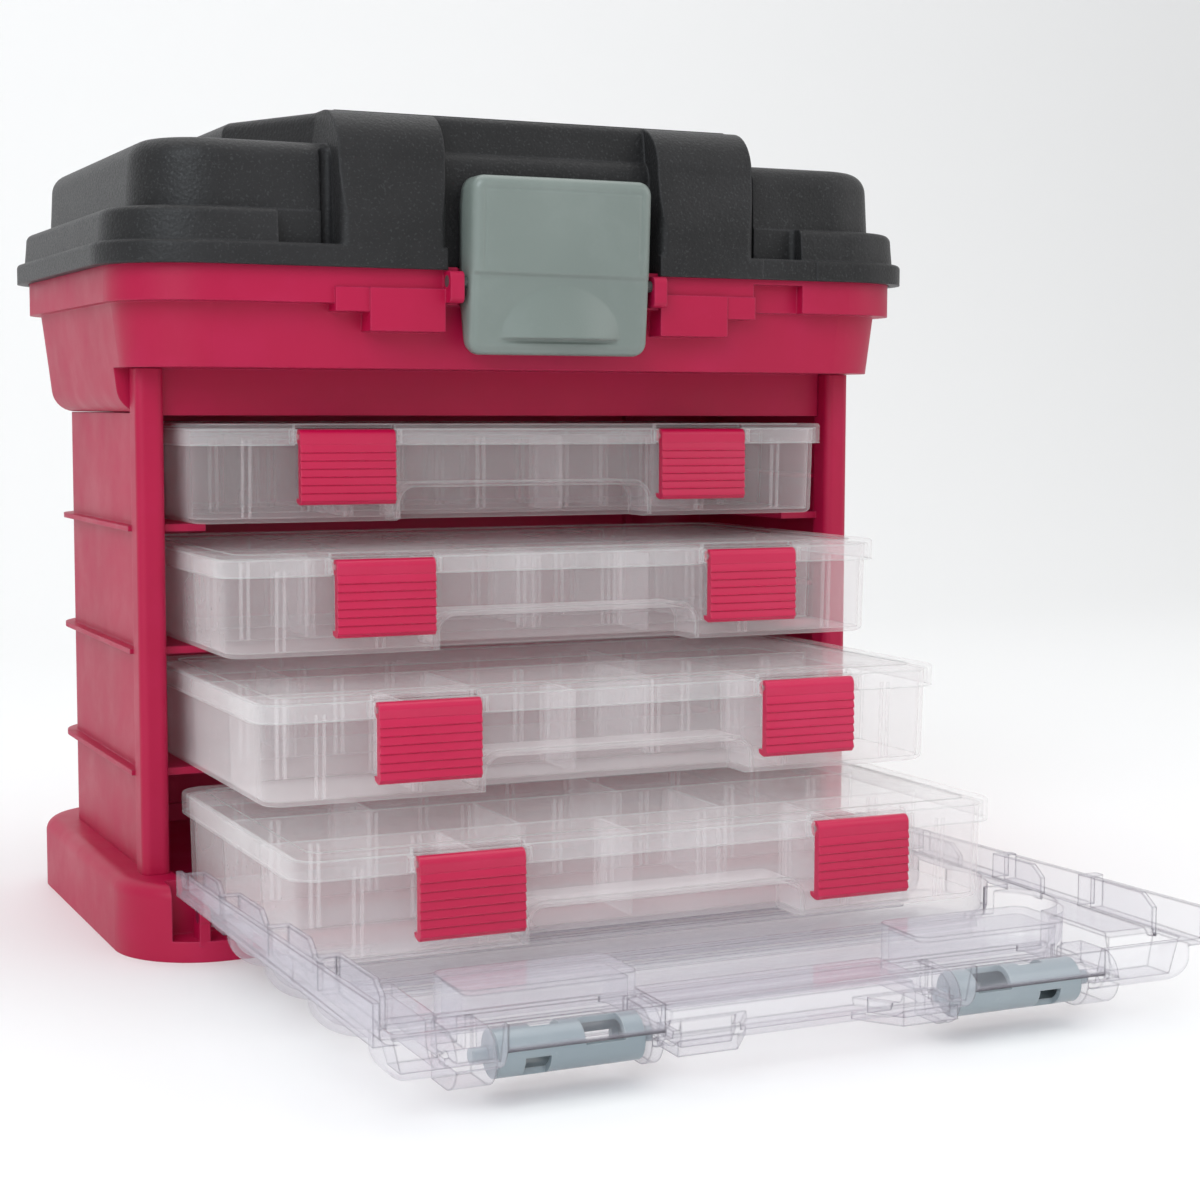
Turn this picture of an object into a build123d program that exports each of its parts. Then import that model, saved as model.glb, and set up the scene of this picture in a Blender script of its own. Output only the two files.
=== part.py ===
from build123d import *
import math
import os

os.makedirs("parts", exist_ok=True)

# ---------------------------------------------------------------- driving dimensions (mm)
# frame: +Z up, front towards -Y, origin at the centre of the footprint on the floor

# base plinth
PL_X, PL_Y, PL_R, PL_H = 138.0, 81.0, 28.0, 24.0
PL_WALL = 2.6
BAY_FLOOR = 17.6

# housing walls and front posts
WALL_X, WALL_T = 127.0, 2.2
BACK_Y, BACK_R = 70.0, 20.0
POST_OUT, POST_IN, POST_FRONT, POST_BACK = 129.5, 120.5, -57.0, -46.0
HEAD_Z = 170.0                      # underside of the header above the top box
LEDGE_IN, LEDGE_T = 106.0, 2.4
FIN_X = 130.4

# upper bin
BAND_X, BAND_Y, BAND_Z0, BAND_Z1 = 139.5, 86.0, 205.0, 217.0
TUB_X, TUB_Y, TUB_BOT, TUB_FRONT_BOT = 136.5, 80.0, 171.0, 185.0

# lid
RIM_X, RIM_Y, RIM_Z0, RIM_Z1 = 143.5, 89.0, 216.0, 223.0
TIER1_X, TIER1_Y, TIER1_Z = 141.0, 87.0, 233.5
TIER2_X, TIER2_Y, TIER2_Z = 132.5, 81.0, 255.0
CROWN_Z = 266.0
BULGE_IN, BULGE_OUT, BULGE_FRONT = 37.5, 72.5, -89.0

# utility boxes (lid outline, height, pitch, how far each is pulled out)
BOX_W, BOX_D, BOX_H, BOX_PITCH, BOX1_TOP = 232.0, 127.0, 31.75, 39.2, 167.5
BOX_FRONT = -66.0
PULL = [0.0, 36.0, 74.0, 107.0]
SKIRT_H, LID_T, BOX_T = 7.0, 1.5, 1.4
LATCH_IN, LATCH_OUT, LATCH_H = 48.0, 80.3, 24.5
NOTCH_X, NOTCH_H, NOTCH_D = 45.0, 11.0, 15.0

# front door, lying open
HINGE_Y, HINGE_Z = -77.4, 14.0
DOOR_X, DOOR_END = 124.0, -262.0
DOOR_Z0, DOOR_Z1, DOOR_TOP = 11.4, 13.4, 33.0
BAY_PITCH, BAY_X, BAY_Z0 = 39.5, 118.4, 8.4
BAY_Y = [-117.8 - BAY_PITCH * i for i in range(3)]
TABS = [(-82.0, -105.0, 29.2), (-121.0, -151.0, 30.4), (-170.0, -195.5, 31.8), (-214.0, -248.5, 33.6)]
BARREL_Y, BARREL_Z, BARREL_R = -247.0, 12.5, 6.3
BARREL_IN, BARREL_OUT = 48.0, 88.0

# main latch
ML_X, ML_PIVOT_Y, ML_PIVOT_Z = 31.5, -89.0, 212.4

# lid hinge and carry handle
LH_Y, LH_Z = 91.0, 211.2
HD_Y, HD_Z, HD_ARM = 21.0, 258.0, 41.0


def save(p, name):
    p.part.label = name
    export_step(p.part, f"parts/{name}.step")


# ---------------------------------------------------------------- base plinth
with BuildPart() as base_plinth:
    with BuildSketch(Plane.XY):
        RectangleRounded(2 * PL_X, 2 * PL_Y, PL_R)
    extrude(amount=PL_H)
    fillet(base_plinth.faces().sort_by(Axis.Z)[-1].edges(), 4.5)
    # hollow underside, open at the floor
    with BuildSketch(Plane.XY):
        RectangleRounded(2 * (PL_X - PL_WALL), 2 * (PL_Y - PL_WALL), PL_R - PL_WALL)
    extrude(amount=6.0, mode=Mode.SUBTRACT)
    with BuildSketch(Plane.XY.offset(6.0)):
        with Locations((0, 8)):
            RectangleRounded(2 * (PL_X - PL_WALL), 2 * (PL_Y - PL_WALL) - 16, PL_R - PL_WALL)
    extrude(amount=BAY_FLOOR - 2.4 - 6.0, mode=Mode.SUBTRACT)
    # stiffening ribs under the floor, a cross through the centre
    with BuildSketch(Plane.XY):
        Rectangle(2 * PL_X - 3, 3.0)
        Rectangle(3.0, 2 * PL_Y - 3)
        with Locations((-70, 0), (70, 0)):
            Rectangle(3.0, 2 * PL_Y - 3)
    extrude(amount=BAY_FLOOR - 2.0)
    # the floor of the lowest bay is sunk between the side walls
    with BuildSketch(Plane.XY.offset(BAY_FLOOR)):
        with Locations((0, -1.0)):
            Rectangle(2 * 119.5, 135.0)
    extrude(amount=PL_H, mode=Mode.SUBTRACT)
    # notch across the front where the door is hinged
    with BuildSketch(Plane.XY.offset(6.6)):
        with Locations((0, -79.0)):
            Rectangle(2 * 125.2, 24.0)
    extrude(amount=PL_H, mode=Mode.SUBTRACT)
    # cheeks that hold the ends of the hinge pins
    with BuildSketch(Plane.YZ.offset(-117.6)):
        with Locations((HINGE_Y + 1.0, 9.6)):
            Rectangle(8.0, 9.0)
        with Locations((HINGE_Y, HINGE_Z)):
            Circle(3.6)
    extrude(amount=3.4)
    with BuildSketch(Plane.YZ.offset(114.2)):
        with Locations((HINGE_Y + 1.0, 9.6)):
            Rectangle(8.0, 9.0)
        with Locations((HINGE_Y, HINGE_Z)):
            Circle(3.6)
    extrude(amount=3.4)
    # pin bores in the cheeks
    with BuildSketch(Plane.YZ.offset(-118.0)):
        with Locations((HINGE_Y, HINGE_Z)):
            Circle(2.0)
    extrude(amount=4.2, mode=Mode.SUBTRACT)
    with BuildSketch(Plane.YZ.offset(113.8)):
        with Locations((HINGE_Y, HINGE_Z)):
            Circle(2.0)
    extrude(amount=4.2, mode=Mode.SUBTRACT)
save(base_plinth, "base_plinth")

with BuildPart() as door_hinge_pins:
    with BuildSketch(Plane.YZ.offset(-117.6)):
        with Locations((HINGE_Y, HINGE_Z)):
            Circle(2.0)
    extrude(amount=11.0)
    with BuildSketch(Plane.YZ.offset(106.6)):
        with Locations((HINGE_Y, HINGE_Z)):
            Circle(2.0)
    extrude(amount=11.0)
save(door_hinge_pins, "door_hinge_pins")

# ---------------------------------------------------------------- side walls
LEDGES = [BOX1_TOP - BOX_H - BOX_PITCH * i - 0.3 for i in range(3)]


def side_wall(s):
    with BuildPart() as w:
        # wall sheet
        with BuildSketch(Plane.XY.offset(PL_H)):
            with Locations((s * (WALL_X - WALL_T / 2), (POST_BACK - 1 + 49.9) / 2)):
                Rectangle(WALL_T, 49.9 - (POST_BACK - 1))
        extrude(amount=TUB_BOT - 0.2 - PL_H)
        # front post with rounded corners
        with BuildSketch(Plane.XY.offset(PL_H)):
            with Locations((s * (POST_OUT + POST_IN) / 2, (POST_FRONT + POST_BACK) / 2)):
                RectangleRounded(POST_OUT - POST_IN, POST_BACK - POST_FRONT, 2.6)
        extrude(amount=TUB_FRONT_BOT - 0.2 - PL_H)
        # inner ledges the boxes slide on, and the fin outside at the same height
        for z in LEDGES:
            with BuildSketch(Plane.XY.offset(z - LEDGE_T)):
                with Locations((s * (LEDGE_IN + WALL_X - 1) / 2, (POST_BACK - 4 + 49.9) / 2)):
                    Rectangle(WALL_X - 1 - LEDGE_IN, 49.9 - (POST_BACK - 4))
            extrude(amount=LEDGE_T)
            with BuildSketch(Plane.XY.offset(z - 2.2)):
                with Locations((s * (WALL_X - 1 + FIN_X) / 2, (POST_BACK - 1 + 49.9) / 2)):
                    Rectangle(FIN_X - WALL_X + 1, 49.9 - (POST_BACK - 1))
            extrude(amount=1.6)
        # slim guide rib along the inside above each ledge
        for z in LEDGES + [BAY_FLOOR + 6.4]:
            with BuildSketch(Plane.XY.offset(z + 12.0)):
                with Locations((s * (WALL_X - WALL_T - 2.5), (POST_BACK + 49.9) / 2)):
                    Rectangle(5.4, 49.9 - POST_BACK)
            extrude(amount=1.6)
    return w


left_wall = side_wall(-1)
save(left_wall, "left_wall")
right_wall = side_wall(1)
save(right_wall, "right_wall")

# back wall: wraps both rear corners
with BuildPart() as back_wall:
    with BuildSketch(Plane.XY.offset(PL_H)):
        RectangleRounded(2 * WALL_X, 2 * BACK_Y, BACK_R)
        RectangleRounded(2 * (WALL_X - WALL_T), 2 * (BACK_Y - WALL_T), BACK_R - WALL_T, mode=Mode.SUBTRACT)
        with Locations((0, 50.0 - 100.0)):
            Rectangle(300, 200, mode=Mode.SUBTRACT)
    extrude(amount=TUB_BOT - 0.2 - PL_H)
    for z in LEDGES:
        with BuildSketch(Plane.XY.offset(z - 2.2)):
            RectangleRounded(2 * FIN_X, 2 * (BACK_Y + 3.4), BACK_R + 3.4)
            RectangleRounded(2 * (WALL_X - 1), 2 * (BACK_Y - 1), BACK_R - 1, mode=Mode.SUBTRACT)
            with Locations((0, 50.0 - 100.0)):
                Rectangle(300, 200, mode=Mode.SUBTRACT)
        extrude(amount=1.6)
    # stops that the boxes meet, and vertical stiffening ribs outside
    with BuildSketch(Plane.XY.offset(PL_H)):
        with Locations((-80, BACK_Y + 0.9), (-27, BACK_Y + 0.9), (27, BACK_Y + 0.9), (80, BACK_Y + 0.9)):
            Rectangle(2.0, 2.6)
        with Locations((-100, BACK_Y - WALL_T - 1.6), (100, BACK_Y - WALL_T - 1.6)):
            Rectangle(3.0, 4.0)
    extrude(amount=TUB_BOT - 0.2 - PL_H)
save(back_wall, "back_wall")

# ---------------------------------------------------------------- upper bin
EAR_X0, EAR_X1 = 33.4, 38.0
with BuildPart() as upper_bin:
    # tub body, drawn inwards towards its floor
    with BuildSketch(Plane.XY.offset(BAND_Z0 + 1)):
        RectangleRounded(2 * TUB_X, 2 * TUB_Y, 26.0)
    extrude(amount=-(BAND_Z0 + 1 - TUB_BOT), taper=7.0)
    fillet(upper_bin.faces().sort_by(Axis.Z)[0].edges(), 8.0)
    # the front of the tub stops higher, over the recessed header
    with BuildSketch(Plane.XY.offset(TUB_BOT - 5)):
        with Locations((0, -45.8 - 30)):
            Rectangle(300, 60)
    extrude(amount=TUB_FRONT_BOT - TUB_BOT + 5, mode=Mode.SUBTRACT)
    # skirt band round the mouth
    with BuildSketch(Plane.XY.offset(BAND_Z0)):
        RectangleRounded(2 * BAND_X, 2 * BAND_Y, 28.0)
    extrude(amount=BAND_Z1 - BAND_Z0)
    # header panel between the posts, set back under the front wall
    with BuildSketch(Plane.XY.offset(HEAD_Z)):
        with Locations((0, -49.4)):
            Rectangle(2 * 120.3, 2.4)
    extrude(amount=TUB_FRONT_BOT - HEAD_Z + 2)
    # mouth and inside of the tub
    with BuildSketch(Plane.XY.offset(BAND_Z1)):
        RectangleRounded(2 * (TUB_X - 2.4), 2 * (TUB_Y - 2.4), 24.0)
    extrude(amount=-(BAND_Z1 - TUB_FRONT_BOT - 2.6), taper=5.0, mode=Mode.SUBTRACT)
    with BuildSketch(Plane.XY.offset(TUB_FRONT_BOT + 3)):
        with Locations((0, 12.6)):
            RectangleRounded(2 * 126.0, 2 * 56.0, 18.0)
    extrude(amount=-(TUB_FRONT_BOT + 3 - TUB_BOT - 2.4), taper=6.0, mode=Mode.SUBTRACT)
    # raised bosses each side of the main latch, stepped at their outer ends
    for s in (-1, 1):
        with BuildSketch(Plane.XY.offset(196.5)):
            with Locations((s * 50.5, -83.4)):
                Rectangle(25.0, 9.2)
        extrude(amount=13.5)
        with BuildSketch(Plane.XY.offset(202.5)):
            with Locations((s * 66.0, -83.4)):
                Rectangle(16.0, 7.6)
        extrude(amount=7.5)
        # ear for the latch pin
        with BuildSketch(Plane.YZ.offset(EAR_X0 if s > 0 else -EAR_X1)):
            with Locations((-86.6, 210.6)):
                RectangleRounded(12.0, 10.0, 2.0)
        extrude(amount=EAR_X1 - EAR_X0)
        with BuildSketch(Plane.YZ.offset(EAR_X0 - 1 if s > 0 else -EAR_X1 - 1)):
            with Locations((ML_PIVOT_Y, ML_PIVOT_Z)):
                Circle(1.9)
        extrude(amount=EAR_X1 - EAR_X0 + 2, mode=Mode.SUBTRACT)
    # the band is relieved behind the main latch
    with BuildSketch(Plane.XY.offset(BAND_Z0 - 1)):
        with Locations((0, -87.0)):
            Rectangle(2 * 33.2, 12.0)
    extrude(amount=20, mode=Mode.SUBTRACT)
    # gap in the band on the right of the front, under a thin lip
    with BuildSketch(Plane.XY.offset(BAND_Z0 - 1)):
        with Locations((83.5, -86.0)):
            Rectangle(19.0, 8.0)
    extrude(amount=10.4, mode=Mode.SUBTRACT)
    # hinge knuckles at the rear
    for x in (-70.0, 70.0):
        with BuildSketch(Plane.YZ.offset(x - 9.0)):
            with Locations((LH_Y, LH_Z)):
                Circle(3.4)
            with Locations((LH_Y - 3.4, LH_Z)):
                Rectangle(6.8, 6.8)
        extrude(amount=18.0)
        with BuildSketch(Plane.YZ.offset(x - 10.0)):
            with Locations((LH_Y, LH_Z)):
                Circle(1.5)
        extrude(amount=20.0, mode=Mode.SUBTRACT)
save(upper_bin, "upper_bin")


# ---------------------------------------------------------------- lid
with BuildPart() as lid_shell:
    # rim
    with BuildSketch(Plane.XY.offset(RIM_Z0)):
        RectangleRounded(2 * RIM_X, 2 * RIM_Y, 30.0)
    extrude(amount=RIM_Z1 - RIM_Z0)
    fillet(lid_shell.faces().sort_by(Axis.Z)[-1].edges(), 1.4)
    # first tier; its front stands forward only at the corners
    with BuildSketch(Plane.XY.offset(RIM_Z1 - 0.5)):
        RectangleRounded(2 * TIER1_X, 2 * TIER1_Y, 29.0)
    extrude(amount=TIER1_Z - RIM_Z1 + 0.5, taper=5.0)
    fillet(lid_shell.faces().sort_by(Axis.Z)[-1].edges(), 2.6)
    with BuildSketch(Plane.XY.offset(RIM_Z1)):
        with Locations((0, -TIER2_Y - 10.0)):
            RectangleRounded(2 * 92.0, 20.0, 2.0)
    extrude(amount=20.0, mode=Mode.SUBTRACT)
    # second tier
    with BuildSketch(Plane.XY.offset(RIM_Z1 - 0.5)):
        RectangleRounded(2 * TIER2_X, 2 * TIER2_Y, 24.0)
    extrude(amount=TIER2_Z - RIM_Z1 + 0.5, taper=3.0)
    fillet(lid_shell.faces().sort_by(Axis.Z)[-1].edges(), 7.0)
    # crown block
    with BuildSketch(Plane.XY.offset(TIER2_Z - 12)):
        with BuildLine():
            Polyline(
                (-74, -78), (74, -78), (76, -66), (95, -26), (95, 42), (76, 74),
                (-76, 74), (-95, 42), (-95, -26), (-76, -66), close=True,
            )
        make_face()
    extrude(amount=CROWN_Z - TIER2_Z + 12, taper=8.0)
    fillet(lid_shell.faces().sort_by(Axis.Z)[-1].edges(), 4.0)
    # two bulges at the front, each side of the main latch
    with BuildSketch(Plane.XY.offset(RIM_Z1 - 4)):
        with Locations((-55.0, -74.5), (55.0, -74.5)):
            RectangleRounded(BULGE_OUT - BULGE_IN, -60.0 - BULGE_FRONT, 3.0)
    extrude(amount=CROWN_Z - 0.4 - RIM_Z1 + 4)
    with BuildSketch(Plane.YZ.offset(-73.0)):
        with BuildLine():
            Polyline((-95.0, 232), (BULGE_FRONT, 232), (-86.4, 250))
            ThreePointArc((-86.4, 250), (-83.0, 260.4), (-72.0, CROWN_Z - 0.4))
            Polyline((-72.0, CROWN_Z - 0.4), (-72.0, 275.0), (-95.0, 275.0), (-95.0, 232))
        make_face()
    extrude(amount=146.0, mode=Mode.SUBTRACT)
    # grooves between the second tier and the bulges
    with BuildSketch(Plane.XY.offset(RIM_Z1)):
        with Locations((-74.6, -84.0), (74.6, -84.0)):
            RectangleRounded(4.0, 13.0, 1.6)
    extrude(amount=60.0, mode=Mode.SUBTRACT)
    # the rim is cut away in front of the latch recess, and notched on the right of the front
    with BuildSketch(Plane.XY.offset(RIM_Z0 - 1)):
        with Locations((0, -92.0)):
            Rectangle(2 * BULGE_IN, 24.0)
        with Locations((86.5, -91.0)):
            Rectangle(21.0, 5.0)
    extrude(amount=60.0, mode=Mode.SUBTRACT)
    # hollow inside
    with BuildSketch(Plane.XY.offset(RIM_Z0 - 1)):
        RectangleRounded(2 * (BAND_X + 0.5), 2 * (BAND_Y + 0.5), 28.4)
    extrude(amount=BAND_Z1 + 0.4 - RIM_Z0 + 1, mode=Mode.SUBTRACT)
    with BuildSketch(Plane.XY.offset(RIM_Z0)):
        RectangleRounded(2 * (TIER1_X - 4.0), 2 * (TIER2_Y - 3.6), 24.0)
    extrude(amount=TIER1_Z - 2.4 - RIM_Z0, taper=4.0, mode=Mode.SUBTRACT)
    with BuildSketch(Plane.XY.offset(RIM_Z0)):
        RectangleRounded(2 * (TIER2_X - 3.2), 2 * (TIER2_Y - 3.6), 21.0)
    extrude(amount=TIER2_Z - 2.6 - RIM_Z0, taper=4.5, mode=Mode.SUBTRACT)
    with BuildSketch(Plane.XY.offset(TIER2_Z - 12)):
        with BuildLine():
            Polyline(
                (-70, -73), (70, -73), (72, -64), (91, -25), (91, 41), (72, 70),
                (-72, 70), (-91, 41), (-91, -25), (-72, -64), close=True,
            )
        make_face()
    extrude(amount=CROWN_Z - 2.6 - TIER2_Z + 12, taper=8.0, mode=Mode.SUBTRACT)
    for s in (-1, 1):
        with BuildSketch(Plane.YZ.offset((BULGE_IN + 2.6) if s > 0 else -(BULGE_OUT - 2.6))):
            with BuildLine():
                Polyline((BULGE_FRONT + 2.6, RIM_Z1 - 6), (BULGE_FRONT + 2.6, 232), (-83.6, 249), (-76.0, 259), (-70, 259), (-70, RIM_Z1 - 6), (BULGE_FRONT + 2.6, RIM_Z1 - 6))
            make_face()
        extrude(amount=BULGE_OUT - BULGE_IN - 5.2, mode=Mode.SUBTRACT)
    # catch that the main latch closes over
    with BuildSketch(Plane.XY.offset(235.5)):
        with Locations((0, -81.4)):
            Rectangle(44.0, 6.4)
    extrude(amount=5.2)
    # well for the carry handle
    with BuildSketch(Plane.XY.offset(HD_Z - 8.4)):
        RectangleRounded(2 * 71.0, 2 * 31.0, 8.0)
    extrude(amount=CROWN_Z - 1.0 - HD_Z + 8.4)
    with BuildSketch(Plane.XY.offset(HD_Z - 6.0)):
        RectangleRounded(2 * 68.0, 2 * 28.6, 6.0)
    extrude(amount=30.0, mode=Mode.SUBTRACT)
    # bores for the handle pins in the ends of the well
    with BuildSketch(Plane.YZ.offset(-71.5)):
        with Locations((HD_Y, HD_Z)):
            Circle(2.5)
    extrude(amount=143.0, mode=Mode.SUBTRACT)
    # rear hinge knuckles
    for x in (-84.8, -55.2, 55.2, 84.8):
        with BuildSketch(Plane.YZ.offset(x - 5.2)):
            with Locations((LH_Y, LH_Z)):
                Circle(3.4)
            with BuildLine():
                Polyline((LH_Y - 3.0, LH_Z + 1.6), (LH_Y + 3.4, LH_Z), (LH_Y + 1.5, RIM_Z1 - 1.5), (RIM_Y - 2.2, RIM_Z1 - 1.5), (RIM_Y - 1.8, RIM_Z0 + 0.2), close=True)
            make_face()
        extrude(amount=10.4)
        with BuildSketch(Plane.YZ.offset(x - 6.0)):
            with Locations((LH_Y, LH_Z)):
                Circle(1.55)
        extrude(amount=12.0, mode=Mode.SUBTRACT)
save(lid_shell, "lid_shell")

with BuildPart() as lid_hinge_pins:
    for x in (-70.0, 70.0):
        with BuildSketch(Plane.YZ.offset(x - 20.6)):
            with Locations((LH_Y, LH_Z)):
                Circle(1.5)
        extrude(amount=41.2)
save(lid_hinge_pins, "lid_hinge_pins")

# carry handle, folded flat in its well
with BuildPart() as carry_handle:
    with BuildSketch(Plane.XY.offset(HD_Z - 4.6)):
        with Locations((0, HD_Y - HD_ARM)):
            RectangleRounded(2 * 65.5, 12.6, 5.0)
        with Locations((-62.0, HD_Y - HD_ARM / 2), (62.0, HD_Y - HD_ARM / 2)):
            Rectangle(7.0, HD_ARM)
    extrude(amount=9.2)
    with BuildSketch(Plane.YZ.offset(-65.5)):
        with Locations((HD_Y, HD_Z)):
            Circle(4.6)
    extrude(amount=7.0)
    with BuildSketch(Plane.YZ.offset(58.5)):
        with Locations((HD_Y, HD_Z)):
            Circle(4.6)
    extrude(amount=7.0)
    with BuildSketch(Plane.YZ.offset(-66.0)):
        with Locations((HD_Y, HD_Z)):
            Circle(2.55)
    extrude(amount=132.0, mode=Mode.SUBTRACT)
    fillet(carry_handle.edges().filter_by(Axis.X).filter_by(lambda e: e.length > 100), 3.0)
save(carry_handle, "carry_handle")

with BuildPart() as handle_pins:
    for s in (-1, 1):
        with BuildSketch(Plane.YZ.offset(58.8 if s > 0 else -71.0)):
            with Locations((HD_Y, HD_Z)):
                Circle(2.5)
        extrude(amount=12.2)
save(handle_pins, "handle_pins")

# ---------------------------------------------------------------- main latch
with BuildPart() as main_latch:
    with BuildSketch(Plane.YZ.offset(-ML_X)):
        with BuildLine():
            Polyline((-92.6, 189.5), (-95.0, 216.0), (-96.6, 243.6))
            ThreePointArc((-96.6, 243.6), (-96.0, 245.2), (-94.4, 245.8))
            Polyline((-94.4, 245.8), (-85.4, 245.8), (-85.4, 242.8), (-83.0, 236.0), (-83.0, 208.0), (-87.6, 189.5), (-92.6, 189.5))
        make_face()
    extrude(amount=2 * ML_X)
    fillet(main_latch.edges().filter_by(lambda e: e.center().Y < -90 and abs(abs(e.center().X) - ML_X) < 0.1 and e.bounding_box().size.Z > 10), 2.0)
    # hollow back
    with BuildSketch(Plane.YZ.offset(-ML_X + 2.2)):
        with BuildLine():
            Polyline((-90.2, 189.0), (-92.6, 216.0), (-94.1, 242.6), (-80.0, 242.6), (-80.0, 189.0), close=True)
        make_face()
    extrude(amount=2 * ML_X - 4.4, mode=Mode.SUBTRACT)
    # bores for the pivot pins
    with BuildSketch(Plane.YZ.offset(-ML_X - 1)):
        with Locations((ML_PIVOT_Y, ML_PIVOT_Z)):
            Circle(1.95)
    extrude(amount=2 * ML_X + 2, mode=Mode.SUBTRACT)
    # stiffening ribs inside
    with BuildSketch(Plane.XY.offset(222.0)):
        with Locations((0, -92.6)):
            Rectangle(2 * ML_X - 3.0, 2.6)
    extrude(amount=1.6)
save(main_latch, "main_latch")

with BuildPart() as main_latch_pins:
    for s in (-1, 1):
        with BuildSketch(Plane.YZ.offset(29.5 if s > 0 else -38.0)):
            with Locations((ML_PIVOT_Y, ML_PIVOT_Z)):
                Circle(1.9)
        extrude(amount=8.5)
save(main_latch_pins, "main_latch_pins")

# ---------------------------------------------------------------- front door, lying open
# outer and inner shape of one bay, rounded at its ends and along the bottom
with BuildPart() as bay_outer:
    with BuildSketch(Plane.XY.offset(BAY_Z0)):
        RectangleRounded(2 * BAY_X, BAY_PITCH, BAY_PITCH / 2 - 0.8)
    extrude(amount=24.0 - BAY_Z0)
    fillet(bay_outer.faces().sort_by(Axis.Z)[0].edges(), 7.6)
with BuildPart() as bay_inner:
    with BuildSketch(Plane.XY.offset(BAY_Z0 + 2.0)):
        RectangleRounded(2 * (BAY_X - 1.8), BAY_PITCH - 3.6, BAY_PITCH / 2 - 2.6)
    extrude(amount=18.0)
    fillet(bay_inner.faces().sort_by(Axis.Z)[0].edges(), 6.0)

with BuildPart() as front_door:
    # panel, with a wider strip at the hinge
    with BuildSketch(Plane.XY.offset(DOOR_Z0)):
        with Locations((0, (-250.0 - 84.0) / 2)):
            Rectangle(2 * 104.0, 250.0 - 84.0)
    extrude(amount=24.0 - DOOR_Z0)
    # three bays with rounded ends, deeper than the panel
    for y in BAY_Y:
        with Locations((0, y, 0)):
            add(bay_outer.part)
    with BuildSketch(Plane.XY.offset(DOOR_Z0)):
        with Locations((0, -253.2)):
            RectangleRounded(2 * 120.0, 17.6, 3.0)
    extrude(amount=24.0 - DOOR_Z0)
    fillet(
        front_door.edges().filter_by(Axis.Y).filter_by(lambda e: abs(e.center().Z - DOOR_Z0) < 0.01 and abs(e.center().X) > 119.0),
        7.0,
    )
    # ledge along each side, and the flange outside it, higher at the front
    with BuildSketch(Plane.XY.offset(22.2)):
        with Locations((0, (DOOR_END - 77.0) / 2)):
            Rectangle(2 * DOOR_X, -77.0 - DOOR_END)
            Rectangle(2 * 103.0, 300.0, mode=Mode.SUBTRACT)
    extrude(amount=1.8)
    for s in (-1, 1):
        with BuildSketch(Plane.YZ.offset(s * DOOR_X)):
            with BuildLine():
                Polyline((-77.0, 21.2), (-77.0, 29.0), (DOOR_END, DOOR_TOP), (DOOR_END, 22.2), close=True)
            make_face()
        extrude(amount=-s * 1.8)
    # inside of the panel and bays
    with BuildSketch(Plane.XY.offset(DOOR_Z1)):
        with Locations((0, (-248.2 - 85.8) / 2)):
            Rectangle(2 * 102.2, 248.2 - 85.8)
    extrude(amount=30, mode=Mode.SUBTRACT)
    for y in BAY_Y:
        with Locations((0, y, 0)):
            add(bay_inner.part, mode=Mode.SUBTRACT)
    with BuildSketch(Plane.XY.offset(24.4)):
        with Locations((0, -252.4)):
            RectangleRounded(2 * 118.2, 15.0, 2.0)
    extrude(amount=-(24.4 - DOOR_Z1), taper=14.0, mode=Mode.SUBTRACT)
    # the middle lies low enough to pass under the lowest box
    with BuildSketch(Plane.XY.offset(15.0)):
        with Locations((0, -124.0)):
            Rectangle(2 * 114.8, 112.0)
    extrude(amount=30, mode=Mode.SUBTRACT)
    # upright tabs on the ledge, with a post at the rear end of each
    for s in (-1, 1):
        for y0, y1, zt in TABS:
            with BuildSketch(Plane.YZ.offset(s * 117.6)):
                with BuildLine():
                    Polyline((y0, 22.2), (y0, zt), (y1 + 5.0, zt + 0.4), (y1, zt - 3.0), (y1, 22.2), close=True)
                make_face()
            extrude(amount=-s * 1.6)
            with BuildSketch(Plane.XY.offset(22.2)):
                with Locations((s * 119.4, y0 - 2.0)):
                    RectangleRounded(6.8, 4.0, 1.2)
            extrude(amount=zt - 22.2)
    # ridges across the panel at the bay joints
    for y in (BAY_Y[0] - BAY_PITCH / 2, BAY_Y[1] - BAY_PITCH / 2, BAY_Y[2] - BAY_PITCH / 2):
        with BuildSketch(Plane.XY.offset(BAY_Z0 + 1.0)):
            with Locations((0, y)):
                Rectangle(2 * 103.0, 2.4)
        extrude(amount=15.0 - BAY_Z0 - 1.0)
    # hinge strip
    with BuildSketch(Plane.XY.offset(DOOR_Z0)):
        with Locations((0, -87.2)):
            Rectangle(2 * 113.8, 13.6)
    extrude(amount=2.0)
    # raised plate between the barrels
    with BuildSketch(Plane.XY.offset(DOOR_Z0)):
        with Locations((0, -236.6)):
            RectangleRounded(80.0, 25.0, 3.0)
    extrude(amount=19.0 - DOOR_Z0, taper=12.0)
    with BuildSketch(Plane.XY.offset(DOOR_Z0 - 1)):
        with Locations((0, -236.6)):
            RectangleRounded(76.4, 21.4, 1.6)
    extrude(amount=17.2 - DOOR_Z0 + 1, taper=10.0, mode=Mode.SUBTRACT)
    # raised housings behind the barrel latches, open below
    for s in (-1, 1):
        with BuildSketch(Plane.XY.offset(DOOR_Z0)):
            with Locations((s * 68.0, -228.6)):
                RectangleRounded(50.0, 23.0, 4.0)
        extrude(amount=27.0 - DOOR_Z0)
        with BuildSketch(Plane.XY.offset(DOOR_Z0 - 1)):
            with Locations((s * 68.0, -228.6)):
                RectangleRounded(46.2, 19.2, 2.4)
        extrude(amount=25.2 - DOOR_Z0 + 1, mode=Mode.SUBTRACT)
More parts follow.
